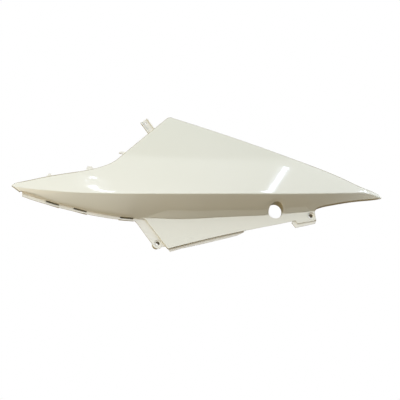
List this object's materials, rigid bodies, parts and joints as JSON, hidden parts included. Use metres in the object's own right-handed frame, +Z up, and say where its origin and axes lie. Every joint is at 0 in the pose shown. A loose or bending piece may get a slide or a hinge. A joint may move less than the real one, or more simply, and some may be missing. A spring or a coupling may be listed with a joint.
{
  "type": "scooter side panel",
  "caption": "Thin moulded rear body side panel for a scooter: crowned upper face, sharp waist line, undercut, skirt with screw flange, lock hole, hooks and a top tab.",
  "frame": {"origin": "centre of the front lower screw hole, at the seat of the screw head", "axes": "+X from the nose to the tail, along the motorbike's length, -Y outward to the side, +Z up"},
  "size_m": [0.6239, 0.058, 0.2321],
  "materials": {
    "painted_shell": "gloss"
  },
  "bodies": {
    "root": {"side_panel": "painted_shell"}
  },
  "joints": []
}
